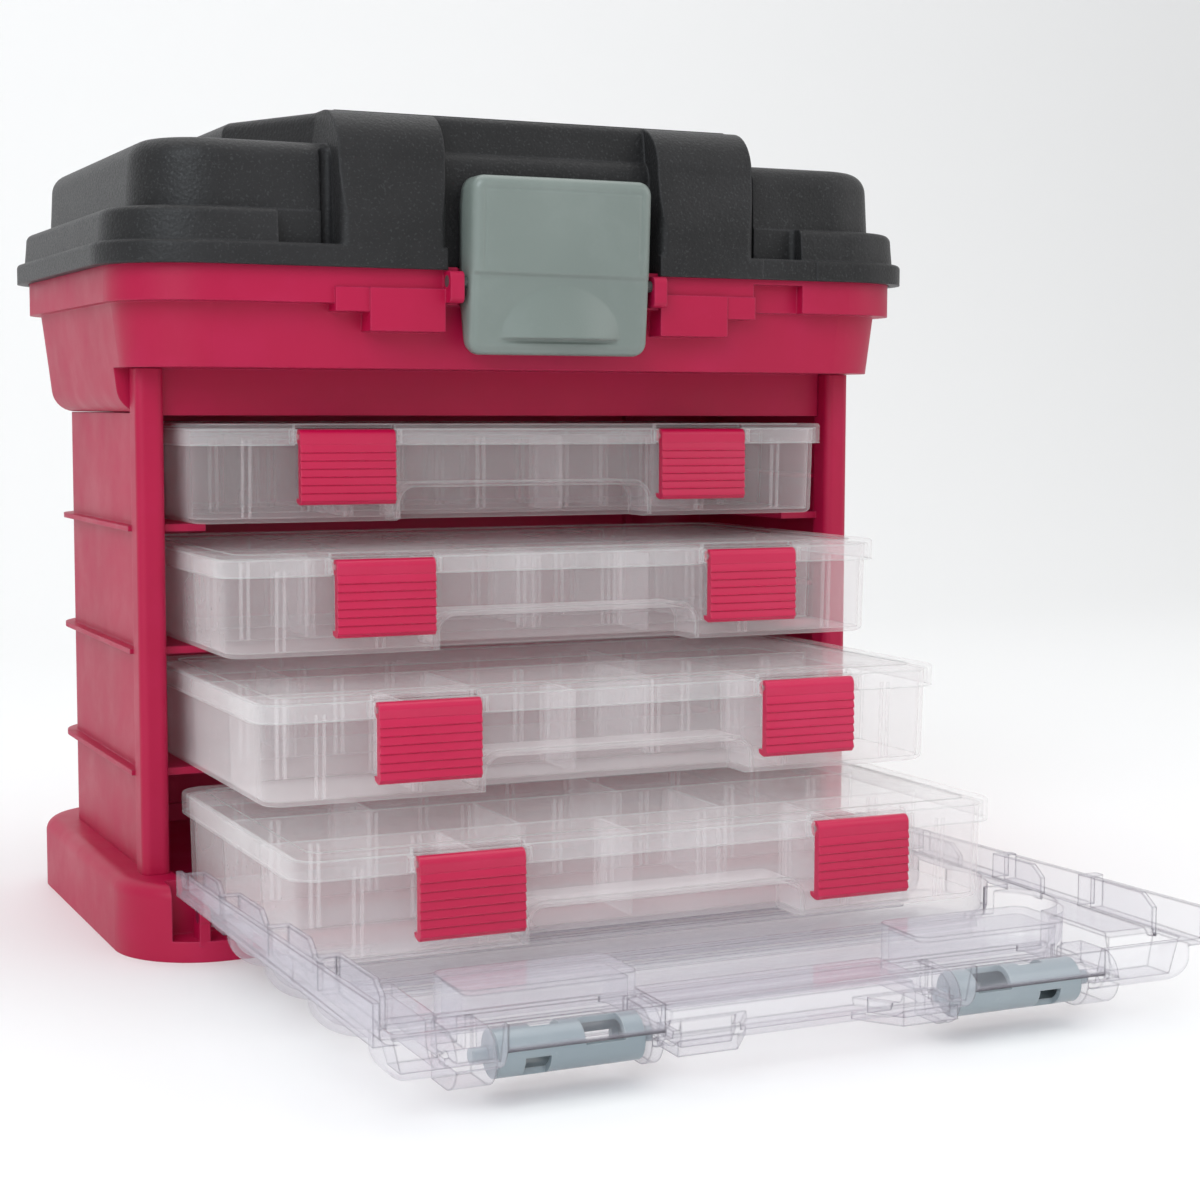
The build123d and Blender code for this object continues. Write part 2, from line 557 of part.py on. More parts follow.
        # room for the barrel
        with BuildSketch(Plane.XY.offset(DOOR_Z0 - 8)):
            with Locations((s * 68.0, -251.0)):
                Rectangle(42.8, 21.6)
        extrude(amount=40.0, mode=Mode.SUBTRACT)
        # cheeks that carry the barrel
        for x0, x1 in ((43.4, 46.8), (89.2, 100.0)):
            lo, hi = (x0, x1) if s > 0 else (-x1, -x0)
            with BuildSketch(Plane.YZ.offset(lo)):
                with Locations((BARREL_Y, BARREL_Z)):
                    Circle(7.6)
                with Locations((BARREL_Y + 5.0, BARREL_Z)):
                    Rectangle(10.0, 15.2)
            extrude(amount=hi - lo)
            with BuildSketch(Plane.YZ.offset(lo - 1)):
                with Locations((BARREL_Y, BARREL_Z)):
                    Circle(2.05)
            extrude(amount=hi - lo + 2, mode=Mode.SUBTRACT)
        # finger tab, a shallow tray
        with BuildSketch(Plane.XY.offset(DOOR_Z0 - 2.0)):
            with BuildLine():
                Polyline((s * 16.0, -248.0), (s * 42.2, -248.0), (s * 42.2, -260.0), (s * 25.0, -260.0), close=True)
            make_face()
        extrude(amount=6.0)
        with BuildSketch(Plane.XY.offset(DOOR_Z0 - 0.2)):
            with BuildLine():
                Polyline((s * 20.0, -249.6), (s * 40.6, -249.6), (s * 40.6, -258.4), (s * 26.0, -258.4), close=True)
            make_face()
        extrude(amount=8.0, mode=Mode.SUBTRACT)
        # hinge knuckle
        lo = 107.2 if s > 0 else -113.8
        with BuildSketch(Plane.YZ.offset(lo)):
            with Locations((HINGE_Y, HINGE_Z)):
                Circle(3.6)
            with Locations((-81.0, 12.8)):
                Rectangle(7.2, 2.8)
        extrude(amount=6.6)
        with BuildSketch(Plane.YZ.offset(lo - 1)):
            with Locations((HINGE_Y, HINGE_Z)):
                Circle(2.05)
        extrude(amount=8.6, mode=Mode.SUBTRACT)
save(front_door, "front_door")


def door_barrel(s):
    with BuildPart() as b:
        lo = BARREL_IN if s > 0 else -BARREL_OUT
        with BuildSketch(Plane.YZ.offset(lo)):
            with Locations((BARREL_Y, BARREL_Z)):
                Circle(BARREL_R)
        extrude(amount=BARREL_OUT - BARREL_IN)
        # hollow middle, two end discs
        with BuildSketch(Plane.YZ.offset(lo + 2.4)):
            with Locations((BARREL_Y, BARREL_Z)):
                Circle(BARREL_R - 1.7)
        extrude(amount=BARREL_OUT - BARREL_IN - 4.8, mode=Mode.SUBTRACT)
        # windows through the tube
        xc = s * (BARREL_IN + BARREL_OUT) / 2
        for dx, w, y0, y1, z0, z1 in ((-9.0, 11.0, -8, 0.6, 1.0, 8), (6.0, 8.0, -1.5, 8, 1.0, 8), (9.5, 7.0, -8, -2, -8, -0.5), (-11.0, 9.0, 1.5, 8, -8, 1.0)):
            with BuildSketch(Plane.XY.offset(BARREL_Z + z0)):
                with Locations((xc + s * dx, BARREL_Y + (y0 + y1) / 2)):
                    Rectangle(w, y1 - y0)
            extrude(amount=z1 - z0, mode=Mode.SUBTRACT)
        # stub pins
        for x0, x1 in ((43.8, 48.5), (87.5, 93.5)):
            p0, p1 = (x0, x1) if s > 0 else (-x1, -x0)
            with BuildSketch(Plane.YZ.offset(p0)):
                with Locations((BARREL_Y, BARREL_Z)):
                    Circle(2.0)
            extrude(amount=p1 - p0)
    return b


door_barrel_left = door_barrel(-1)
save(door_barrel_left, "door_barrel_left")
door_barrel_right = door_barrel(1)
save(door_barrel_right, "door_barrel_right")

# ---------------------------------------------------------------- utility boxes
DIVIDERS = {
    1: [(-62, 0), (20, 0), (66, 0), (-30, 1), (48, 1), (-70, 2), (10, 2)],
    2: [(-40, 0), (36, 0), (-74, 1), (6, 1), (70, 1), (-20, 2), (56, 2)],
    3: [(-66, 0), (-8, 0), (58, 0), (-34, 1), (30, 1), (-80, 2), (44, 2)],
    4: [(-58, 0), (-4, 0), (62, 0), (-30, 1), (40, 1), (-64, 2), (22, 2)],
}
ROW_Y = [3.0, 43.2, 83.4, 123.4]      # row limits behind the lid's front edge


def box_base(n):
    zt = BOX1_TOP - BOX_PITCH * (n - 1)
    zb = zt - BOX_H
    yf = BOX_FRONT - PULL[n - 1]
    yc = yf + BOX_D / 2
    with BuildPart() as b:
        with BuildSketch(Plane.XY.offset(zt - 1.8)):
            with Locations((0, yc)):
                RectangleRounded(BOX_W - 4.2, BOX_D - 4.2, 8.0)
        extrude(amount=-(BOX_H - 1.8), taper=1.4)
        fillet(b.faces().sort_by(Axis.Z)[0].edges(), 2.2)
        with BuildSketch(Plane.XY.offset(zt - 1.8)):
            with Locations((0, yc)):
                RectangleRounded(BOX_W - 4.2 - 2 * BOX_T, BOX_D - 4.2 - 2 * BOX_T, 6.6)
        extrude(amount=-(BOX_H - 1.8 - BOX_T), taper=1.6, mode=Mode.SUBTRACT)
        # two fixed walls along the box make three rows
        with BuildSketch(Plane.XY.offset(zb + 0.6)):
            with Locations((0, yf + ROW_Y[1]), (0, yf + ROW_Y[2])):
                Rectangle(BOX_W - 7.0, 1.2)
        extrude(amount=BOX_H - 4.6)
        # raised grip notch in the middle of the front
        with BuildSketch(Plane.XZ.offset(-(yf + 1.6))):
            with Locations((0, zb + 0.6)):
                RectangleRounded(2 * (NOTCH_X + BOX_T), 2 * (NOTCH_H + BOX_T - 0.6), 6.6)
                with Locations((0, -20)):
                    Rectangle(400, 40, mode=Mode.SUBTRACT)
        extrude(amount=-(NOTCH_D + BOX_T))
        with BuildSketch(Plane.XZ.offset(-(yf - 2.0))):
            with Locations((0, zb)):
                RectangleRounded(2 * NOTCH_X, 2 * NOTCH_H, 5.4)
        extrude(amount=-(NOTCH_D + 3.6), mode=Mode.SUBTRACT)
        # lugs under the latch hooks
        with BuildSketch(Plane.XY.offset(zt - 23.5)):
            with Locations((-(LATCH_IN + LATCH_OUT) / 2, yf + 1.3), ((LATCH_IN + LATCH_OUT) / 2, yf + 1.3)):
                Rectangle(27.0, 3.0)
        extrude(amount=2.0)
    return b


def box_lid(n):
    zt = BOX1_TOP - BOX_PITCH * (n - 1)
    yf = BOX_FRONT - PULL[n - 1]
    yc = yf + BOX_D / 2
    with BuildPart() as b:
        with BuildSketch(Plane.XY.offset(zt)):
            with Locations((0, yc)):
                RectangleRounded(BOX_W, BOX_D, 9.0)
        extrude(amount=-SKIRT_H)
        fillet(b.faces().sort_by(Axis.Z)[-1].edges(), 1.1)
        with BuildSketch(Plane.XY.offset(zt - LID_T)):
            with Locations((0, yc)):
                RectangleRounded(BOX_W - 2.8, BOX_D - 2.8, 7.6)
        extrude(amount=-SKIRT_H, mode=Mode.SUBTRACT)
        # shallow panel inside a raised border
        with BuildSketch(Plane.XY.offset(zt - 0.5)):
            with Locations((0, yc)):
                RectangleRounded(BOX_W - 14.0, BOX_D - 14.0, 5.0)
        extrude(amount=2.0, mode=Mode.SUBTRACT)
        for s in (-1, 1):
            xc = s * (LATCH_IN + LATCH_OUT) / 2
            w = LATCH_OUT - LATCH_IN
            # room for the latch, with a boss and a pin at each side
            with BuildSketch(Plane.XY.offset(zt - SKIRT_H - 1)):
                with Locations((xc, yf)):
                    Rectangle(w + 1.2, 5.8)
            extrude(amount=20, mode=Mode.SUBTRACT)
            with BuildSketch(Plane.XY.offset(zt - 6.4)):
                with Locations((xc - w / 2 - 1.5, yf - 0.4), (xc + w / 2 + 1.5, yf - 0.4)):
                    Rectangle(1.8, 3.6)
            extrude(amount=4.6)
            with BuildSketch(Plane.YZ.offset(xc - w / 2 - 1.2)):
                with Locations((yf - 0.9, zt - 4.2)):
                    Circle(0.95)
            extrude(amount=w + 2.4)
        # rear hinge roll
        with BuildSketch(Plane.YZ.offset(-70.0)):
            with Locations((yf + BOX_D + 0.6, zt - 4.6)):
                Circle(2.2)
        extrude(amount=140.0)
    return b


def box_latch(n, s):
    zt = BOX1_TOP - BOX_PITCH * (n - 1)
    yf = BOX_FRONT - PULL[n - 1]
    py, pz = yf - 0.9, zt - 4.2
    z0 = zt - 1.5 - LATCH_H
    lo = LATCH_IN if s > 0 else -LATCH_OUT
    with BuildPart() as b:
        with BuildSketch(Plane.YZ.offset(lo)):
            with Locations((py, pz)):
                Circle(2.4)
            with Locations((yf - 2.0, (z0 + pz) / 2)):
                Rectangle(2.6, pz - z0)
            # hook
            with BuildLine():
                Polyline((yf - 1.5, z0), (yf + 1.4, z0 + 0.8), (yf + 1.8, z0 + 2.2), (yf - 1.5, z0 + 2.2), close=True)
            make_face()
        extrude(amount=LATCH_OUT - LATCH_IN)
        # bore for the lid's pin
        with BuildSketch(Plane.YZ.offset(lo - 1)):
            with Locations((py, pz)):
                Circle(1.0)
        extrude(amount=LATCH_OUT - LATCH_IN + 2, mode=Mode.SUBTRACT)
        # ribbed grip
        for k in range(6):
            z = z0 + 2.4 + 3.5 * k
            with BuildSketch(Plane.XY.offset(z)):
                with Locations((lo + (LATCH_OUT - LATCH_IN) / 2, yf - 3.4)):
                    Rectangle(LATCH_OUT - LATCH_IN - 1.2, 0.7)
            extrude(amount=1.1)
    return b


def box_dividers(n):
    zt = BOX1_TOP - BOX_PITCH * (n - 1)
    zb = zt - BOX_H
    yf = BOX_FRONT - PULL[n - 1]
    with BuildPart() as b:
        for x, r in DIVIDERS[n]:
            y0, y1 = yf + ROW_Y[r] + 1.2, yf + ROW_Y[r + 1] - 1.2
            if r == 0 and abs(x) < NOTCH_X + 3:
                y0 = yf + NOTCH_D + 4.6
            if r == 0 and abs(x) >= NOTCH_X + 3:
                y0 = yf + 4.9
            if r == 2:
                y1 = yf + BOX_D - 4.9
            with BuildSketch(Plane.XY.offset(zb + BOX_T + 0.3)):
                with Locations((x, (y0 + y1) / 2)):
                    Rectangle(1.2, y1 - y0)
            extrude(amount=BOX_H - BOX_T - 4.6)
    return b


for n in (1, 2, 3, 4):
    save(box_base(n), f"box_{n}_base")
    save(box_lid(n), f"box_{n}_lid")
    save(box_latch(n, -1), f"box_{n}_latch_left")
    save(box_latch(n, 1), f"box_{n}_latch_right")
    save(box_dividers(n), f"box_{n}_dividers")
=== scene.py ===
import math

import bmesh
import bpy
from mathutils import Matrix, Vector


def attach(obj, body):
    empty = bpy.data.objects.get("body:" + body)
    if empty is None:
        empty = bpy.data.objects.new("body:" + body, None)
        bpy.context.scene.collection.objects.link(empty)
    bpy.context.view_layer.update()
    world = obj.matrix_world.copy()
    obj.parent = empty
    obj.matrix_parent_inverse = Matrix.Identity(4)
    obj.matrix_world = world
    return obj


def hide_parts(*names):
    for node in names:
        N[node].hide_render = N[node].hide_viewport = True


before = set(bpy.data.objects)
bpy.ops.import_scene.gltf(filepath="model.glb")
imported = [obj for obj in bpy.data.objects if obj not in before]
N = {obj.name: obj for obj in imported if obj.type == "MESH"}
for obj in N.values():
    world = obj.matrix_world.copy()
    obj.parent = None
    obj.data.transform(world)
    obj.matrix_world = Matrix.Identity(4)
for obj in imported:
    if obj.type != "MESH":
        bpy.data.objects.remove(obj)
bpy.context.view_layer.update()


# ---------------------------------------------------------------- node helpers
def new_mat(name):
    m = bpy.data.materials.new(name)
    m.use_nodes = True
    nt = m.node_tree
    nt.nodes.clear()
    out = nt.nodes.new("ShaderNodeOutputMaterial")
    b = nt.nodes.new("ShaderNodeBsdfPrincipled")
    nt.links.new(b.outputs[0], out.inputs[0])
    return m, nt, b


def coords(nt):
    return nt.nodes.new("ShaderNodeTexCoord").outputs["Object"]


def noise(nt, vec, scale, detail=2.0, rough=0.5):
    n = nt.nodes.new("ShaderNodeTexNoise")
    n.inputs["Scale"].default_value = scale
    n.inputs["Detail"].default_value = detail
    n.inputs["Roughness"].default_value = rough
    nt.links.new(vec, n.inputs["Vector"])
    return n.outputs["Fac"]


def voronoi(nt, vec, scale):
    n = nt.nodes.new("ShaderNodeTexVoronoi")
    n.inputs["Scale"].default_value = scale
    nt.links.new(vec, n.inputs["Vector"])
    return n.outputs["Distance"]


def remap(nt, src, a, b, c, d):
    n = nt.nodes.new("ShaderNodeMapRange")
    n.inputs["From Min"].default_value = a
    n.inputs["From Max"].default_value = b
    n.inputs["To Min"].default_value = c
    n.inputs["To Max"].default_value = d
    nt.links.new(src, n.inputs["Value"])
    return n.outputs["Result"]


def mixc(nt, fac, a, b, mode="MIX"):
    n = nt.nodes.new("ShaderNodeMix")
    n.data_type = "RGBA"
    n.blend_type = mode
    if isinstance(fac, float):
        n.inputs["Factor"].default_value = fac
    else:
        nt.links.new(fac, n.inputs["Factor"])
    for sock, v in (("A", a), ("B", b)):
        s = [i for i in n.inputs if i.name == sock and i.type == "RGBA"][0]
        if isinstance(v, tuple):
            s.default_value = (*v, 1.0)
        else:
            nt.links.new(v, s)
    return [o for o in n.outputs if o.type == "RGBA"][0]


def maths(nt, op, a, b):
    n = nt.nodes.new("ShaderNodeMath")
    n.operation = op
    for i, v in ((0, a), (1, b)):
        if isinstance(v, (int, float)):
            n.inputs[i].default_value = v
        else:
            nt.links.new(v, n.inputs[i])
    return n.outputs[0]


def bump(nt, b, heights, start=None):
    """heights: (socket, strength, distance), chained on the start normal."""
    last = start
    for h, strength, dist in heights:
        n = nt.nodes.new("ShaderNodeBump")
        n.inputs["Strength"].default_value = strength
        n.inputs["Distance"].default_value = dist
        nt.links.new(h, n.inputs["Height"])
        if last is not None:
            nt.links.new(last, n.inputs["Normal"])
        last = n.outputs["Normal"]
    nt.links.new(last, b.inputs["Normal"])


def edges(nt, radius, samples=4):
    """(rounded normal, mask that is 1 on sharp edges and 0 on flat faces)"""
    bev = nt.nodes.new("ShaderNodeBevel")
    bev.samples = samples
    bev.inputs["Radius"].default_value = radius
    geo = nt.nodes.new("ShaderNodeNewGeometry")
    dot = nt.nodes.new("ShaderNodeVectorMath")
    dot.operation = "DOT_PRODUCT"
    nt.links.new(bev.outputs["Normal"], dot.inputs[0])
    nt.links.new(geo.outputs["Normal"], dot.inputs[1])
    return bev.outputs["Normal"], remap(nt, dot.outputs["Value"], 0.985, 0.80, 0.0, 1.0)


# ---------------------------------------------------------------- materials
def moulded(name, base, dark, light, rough=(0.34, 0.46), grain=2600.0, grain_strength=0.10, coat=0.12, spec=0.5, edge=None, wear_and_highlight=0.5, radius=0.0007):
    """opaque moulded plastic: flow mottling, scuffs, fine grain, paler edges that are partly wear and partly
    painted edge highlight
    """
    m, nt, b = new_mat(name)
    co = coords(nt)
    flow = noise(nt, co, 9.0, 3.0, 0.55)
    patch = noise(nt, co, 46.0, 4.0, 0.6)
    scuff = noise(nt, co, 210.0, 5.0, 0.75)
    fine = noise(nt, co, grain, 2.0, 0.6)
    rounded, e = edges(nt, radius)
    c = mixc(nt, remap(nt, flow, 0.35, 0.65, 0.0, 1.0), dark, base)
    c = mixc(nt, remap(nt, patch, 0.5, 0.85, 0.0, 0.30), c, light)
    c = mixc(nt, remap(nt, scuff, 0.62, 0.78, 0.0, 0.25), c, light)
    # paler colour on every edge: partly edge wear, partly a painted edge highlight
    w = maths(nt, "MULTIPLY", e, remap(nt, scuff, 0.35, 0.65, 0.25 * wear_and_highlight, wear_and_highlight))
    c = mixc(nt, w, c, edge or light)
    nt.links.new(c, b.inputs["Base Color"])
    r = remap(nt, patch, 0.3, 0.75, rough[0], rough[1])
    nt.links.new(r, b.inputs["Roughness"])
    b.inputs["Specular IOR Level"].default_value = spec
    b.inputs["Coat Weight"].default_value = coat
    b.inputs["Coat Roughness"].default_value = 0.28
    bump(nt, b, [(flow, 0.10, 0.0012), (patch, 0.06, 0.0004), (fine, grain_strength, 0.00010)], rounded)
    return m


# edge colours below: paler edge tone, part wear and part painted edge highlight
housing = moulded("housing_magenta", (0.445, 0.002, 0.052), (0.39, 0.0015, 0.043), (0.50, 0.014, 0.092), edge=(0.60, 0.07, 0.17), grain=2200.0, grain_strength=0.20, rough=(0.40, 0.54), coat=0.0, spec=0.34)
box_latch = moulded("box_latch_magenta", (0.56, 0.004, 0.066), (0.50, 0.003, 0.056), (0.62, 0.02, 0.11), edge=(0.72, 0.08, 0.17), grain=2600.0, grain_strength=0.06, rough=(0.28, 0.38), coat=0.15, radius=0.0003, wear_and_highlight=0.4)
pin = moulded("pin_dark_magenta", (0.20, 0.008, 0.04), (0.15, 0.006, 0.03), (0.28, 0.03, 0.08))
pin_grey = moulded("pin_dark_grey", (0.075, 0.08, 0.078), (0.05, 0.055, 0.053), (0.13, 0.14, 0.135), radius=0.0004)
barrel = moulded("barrel_grey", (0.32, 0.37, 0.40), (0.24, 0.29, 0.32), (0.46, 0.51, 0.54), edge=(0.66, 0.70, 0.72), rough=(0.16, 0.26), coat=0.5, grain=2400.0, grain_strength=0.05, radius=0.0005)
latch_grey = moulded("latch_grey_green", (0.205, 0.243, 0.222), (0.168, 0.203, 0.186), (0.27, 0.31, 0.29), edge=(0.40, 0.44, 0.42), rough=(0.30, 0.42), coat=0.18, grain=1500.0, grain_strength=0.30, radius=0.00012)


def pebbled_charcoal():
    """lid plastic: dark, pebble grain, tiny paler specks that are painted glints off the pebble grain"""
    m, nt, b = new_mat("lid_charcoal")
    co = coords(nt)
    flow = noise(nt, co, 8.0, 3.0)
    peb = voronoi(nt, co, 900.0)
    fine = noise(nt, co, 1700.0, 3.0, 0.7)
    glint_speck = noise(nt, co, 1250.0, 1.0, 0.4)
    patch = noise(nt, co, 40.0, 4.0, 0.6)
    rounded, e = edges(nt, 0.0012)
    c = mixc(nt, remap(nt, flow, 0.35, 0.65, 0.0, 1.0), (0.010, 0.010, 0.0105), (0.019, 0.0185, 0.0195))
    c = mixc(nt, remap(nt, patch, 0.5, 0.8, 0.0, 0.35), c, (0.034, 0.033, 0.035))
    # paler specks: painted glints off the pebble grain
    c = mixc(nt, remap(nt, glint_speck, 0.60, 0.72, 0.0, 0.24), c, (0.085, 0.088, 0.090))
    # paler edges: partly rubbed wear, partly painted edge highlight
    c = mixc(nt, maths(nt, "MULTIPLY", e, remap(nt, patch, 0.3, 0.7, 0.25, 0.7)), c, (0.060, 0.060, 0.064))
    nt.links.new(c, b.inputs["Base Color"])
    nt.links.new(remap(nt, fine, 0.3, 0.7, 0.36, 0.56), b.inputs["Roughness"])
    b.inputs["Specular IOR Level"].default_value = 0.30
    b.inputs["Sheen Weight"].default_value = 0.02
    b.inputs["Sheen Roughness"].default_value = 0.5
    bump(nt, b, [(flow, 0.10, 0.0012), (peb, 0.34, 0.00028), (fine, 0.32, 0.00018)], rounded)
    return m


lid_mat = pebbled_charcoal()


def translucent(name, tint, rim, a0, a1, a_edge, rough, radius, power=1.6, lined=True, slant=None):
    """see-through moulded plastic: clear face on, denser at a slant, with a visible line along every edge; the
    slant colour and the edge line colour are painted light
    """
    m, nt, b = new_mat(name)
    co = coords(nt)
    flow = noise(nt, co, 14.0, 3.0)
    streak = noise(nt, co, 60.0, 4.0, 0.6)
    scuff = noise(nt, co, 260.0, 5.0, 0.75)
    fine = noise(nt, co, 2000.0, 2.0, 0.6)
    lw = nt.nodes.new("ShaderNodeLayerWeight")
    lw.inputs["Blend"].default_value = 0.5
    rounded, e = edges(nt, radius, 2) if lined else (None, None)
    c = mixc(nt, remap(nt, flow, 0.3, 0.7, 0.0, 1.0), tint, tuple(min(1.0, v * 1.05 + 0.02) for v in tint))
    c = mixc(nt, remap(nt, scuff, 0.62, 0.8, 0.0, 0.5), c, (0.95, 0.95, 0.95))
    f = maths(nt, "POWER", lw.outputs["Facing"], power)
    # slant colour at grazing angles: painted shade standing in for refraction in clear plastic
    if slant:
        c = mixc(nt, f, c, slant)
    # edge line colour: painted highlight on the frosted boxes, painted refraction shade on the clear door
    if lined:
        c = mixc(nt, e, c, rim)
    nt.links.new(c, b.inputs["Base Color"])
    nt.links.new(remap(nt, streak, 0.3, 0.7, rough[0], rough[1]), b.inputs["Roughness"])
    a = remap(nt, f, 0.0, 1.0, a0, a1)
    a = maths(nt, "ADD", a, remap(nt, flow, 0.3, 0.7, -0.15 * a0, 0.15 * a0))
    a = maths(nt, "ADD", a, remap(nt, scuff, 0.62, 0.8, 0.0, 0.06))
    if lined:
        a = maths(nt, "ADD", a, maths(nt, "MULTIPLY", e, a_edge))
    nt.links.new(maths(nt, "MINIMUM", a, 0.95), b.inputs["Alpha"])
    b.inputs["IOR"].default_value = 1.49
    b.inputs["Specular IOR Level"].default_value = 0.7
    bump(nt, b, [(flow, 0.12, 0.0010), (streak, 0.05, 0.0003), (fine, 0.02, 0.00003)], rounded)
    return m


# box rims: the whiter edge line is a painted edge highlight
box_mat = translucent("box_frosted", (0.93, 0.885, 0.89), (0.97, 0.96, 0.96), 0.078, 0.39, 0.42, (0.32, 0.46), 0.0009, 1.9)
lidbox_mat = translucent("box_lid_frosted", (0.95, 0.93, 0.93), (0.98, 0.98, 0.98), 0.115, 0.27, 0.45, (0.22, 0.34), 0.0009, 2.2)
div_mat = translucent("divider_frosted", (0.88, 0.83, 0.84), (0.95, 0.93, 0.93), 0.105, 0.38, 0.40, (0.34, 0.48), 0.0005, lined=False)
slot_mat = translucent("divider_slots_frosted", (0.93, 0.885, 0.89), (0.97, 0.96, 0.96), 0.105, 0.34, 0.42, (0.34, 0.48), 0.0005, lined=False)
# door: the dark rim and darker slant colours are painted shade where the clear plastic refracts light at its edges
# and bends
door_mat = translucent("door_clear", (0.74, 0.72, 0.78), (0.13, 0.11, 0.15), 0.060, 0.62, 0.75, (0.04, 0.10), 0.0009, 2.2, slant=(0.42, 0.39, 0.46))

for name, o in N.items():
    if name.endswith("_base") and name.startswith("box"):
        m = box_mat
    elif name.endswith("_lid") and name.startswith("box"):
        m = lidbox_mat
    elif name.endswith("_dividers"):
        m = div_mat
    elif "latch_left" in name or "latch_right" in name:
        m = box_latch
    elif name == "front_door":
        m = door_mat
    elif name.startswith("door_barrel"):
        m = barrel
    elif name in ("lid_shell", "carry_handle", "handle_pins"):
        m = lid_mat
    elif name == "main_latch":
        m = latch_grey
    elif name == "main_latch_pins":
        m = pin_grey
    elif name.endswith("_pins"):
        m = pin
    else:
        m = housing
    o.data.materials.clear()
    o.data.materials.append(m)

# ---------------------------------------------------------------- pieces
MM = 0.001
PULL = (0.0, 36.0, 74.0, 107.0)
TOP = [167.5 - 39.2 * i for i in range(4)]
FRONT = [-66.0 - p for p in PULL]


def add(name, bm, mat, body, smooth=True):
    me = bpy.data.meshes.new(name)
    bmesh.ops.recalc_face_normals(bm, faces=bm.faces)
    bm.to_mesh(me)
    bm.free()
    for p in me.polygons:
        p.use_smooth = smooth
    me.materials.append(mat)
    o = bpy.data.objects.new(name, me)
    bpy.context.scene.collection.objects.link(o)
    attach(o, body)
    return o


def soften(o, width, segments=2, angle=35.0):
    b = o.modifiers.new("soften", "BEVEL")
    b.width = width
    b.segments = segments
    b.limit_method = "ANGLE"
    b.angle_limit = math.radians(angle)
    b.harden_normals = False
    return o


# main latch: crowned cover with rounded corners, a crease, a framing line, and a half cone as a thumb grip low down
def latch_front(z):
    """y of the cover's front, in mm"""
    if z < 216.0:
        return -92.6 - (z - 189.5) / 26.5 * 2.4
    return -95.0 - (z - 216.0) / 27.6 * 1.45


def latch_back(z):
    if z > 242.8:
        return -85.4
    if z > 236.0:
        return -85.4 + (242.8 - z) / 6.8 * 2.4
    if z > 208.0:
        return -83.0
    return -83.0 - (208.0 - z) / 18.5 * 4.6


def main_latch_mesh():
    bm = bmesh.new()
    W, Z0, Z1, RC, RE = 31.45, 189.55, 245.75, 4.6, 3.2
    zc, H = (Z0 + Z1) / 2, (Z1 - Z0) / 2
    nx, nz = 120, 128

    def spread(k, n, half):
        t = -1 + 2 * k / n
        return half * math.sin(t * math.pi / 2) * 0.45 + half * t * 0.55

    grid = []
    for i in range(nx + 1):
        col = []
        for j in range(nz + 1):
            x, z = spread(i, nx, W), spread(j, nz, H)
            ax, az = (abs(x) - (W - RC)) / RC, (abs(z) - (H - RC)) / RC
            if ax > 0 and az > 0:
                wx = ax * math.sqrt(1 - az * az / 2)
                wz = az * math.sqrt(1 - ax * ax / 2)
                x = math.copysign(W - RC + RC * wx, x)
                z = math.copysign(H - RC + RC * wz, z)
            qx, qz = abs(x) - (W - RC), abs(z) - (H - RC)
            d = RC - math.hypot(max(qx, 0), max(qz, 0)) - min(max(qx, qz), 0)
            if qx <= 0 and qz <= 0:
                d = RC - max(qx, qz)
            d = max(0.0, d)
            zz = zc + z
            y = latch_front(zz)
            # slightly crowned across
            y += 0.5 * (x / W) ** 2
            # upper plate stands proud of the lower half, with a fine crease between them
            y += 0.85 / (1 + math.exp((zz - 214.6 + 0.012 * x) / 0.16)) * min(1.0, d / 1.6)
            y += 0.22 * math.exp(-((zz - 214.5) / 0.45) ** 2) * min(1.0, d / 1.6)
            # fine framing line inside the upper plate's edges
            if zz > 216.5:
                y += 0.30 * math.exp(-((d - 4.3) / 0.35) ** 2)
            # half cone in the lower half: flush at its rounded top, proudest at its straight foot
            t = (212.2 - zz) / 17.6
            if 0 < t < 1.0:
                half = 21.0 * (1 - (1 - t) ** 2.2) ** 0.62
                u = min(1.0, abs(x) / half)
                y -= 4.8 * t ** 1.1 * (1 - u ** 2.4)
            if 0.985 < t < 1.06:
                y += 0.40 * max(0.0, 1 - (x / 22.0) ** 6)
            # rounded edge
            if d < RE:
                y += RE - math.sqrt(max(0.0, RE * RE - (RE - d) ** 2))
            col.append(bm.verts.new((x * MM, y * MM, zz * MM)))
        grid.append(col)
    for i in range(nx):
        for j in range(nz):
            bm.faces.new((grid[i][j], grid[i + 1][j], grid[i + 1][j + 1], grid[i][j + 1]))
    # sides, carried back to the cover's rear edge
    ring = [grid[i][0] for i in range(nx + 1)] + [grid[nx][j] for j in range(1, nz + 1)]
    ring += [grid[i][nz] for i in range(nx - 1, -1, -1)] + [grid[0][j] for j in range(nz - 1, 0, -1)]
    prev = ring
    for k in (0.33, 0.66, 1.0):
        new = []
        for v in ring:
            yb = latch_back(v.co.z / MM) * MM
            new.append(bm.verts.new((v.co.x, v.co.y + (yb - v.co.y) * k, v.co.z)))
        for a in range(len(ring)):
            c = (a + 1) % len(ring)
            bm.faces.new((prev[a], prev[c], new[c], new[a]))
        prev = new
    return bm


ml = add("main_latch_cover", main_latch_mesh(), latch_grey, "main_latch")
sol = ml.modifiers.new("wall", "SOLIDIFY")
sol.thickness = 0.0019
sol.offset = -1.0
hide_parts("main_latch")


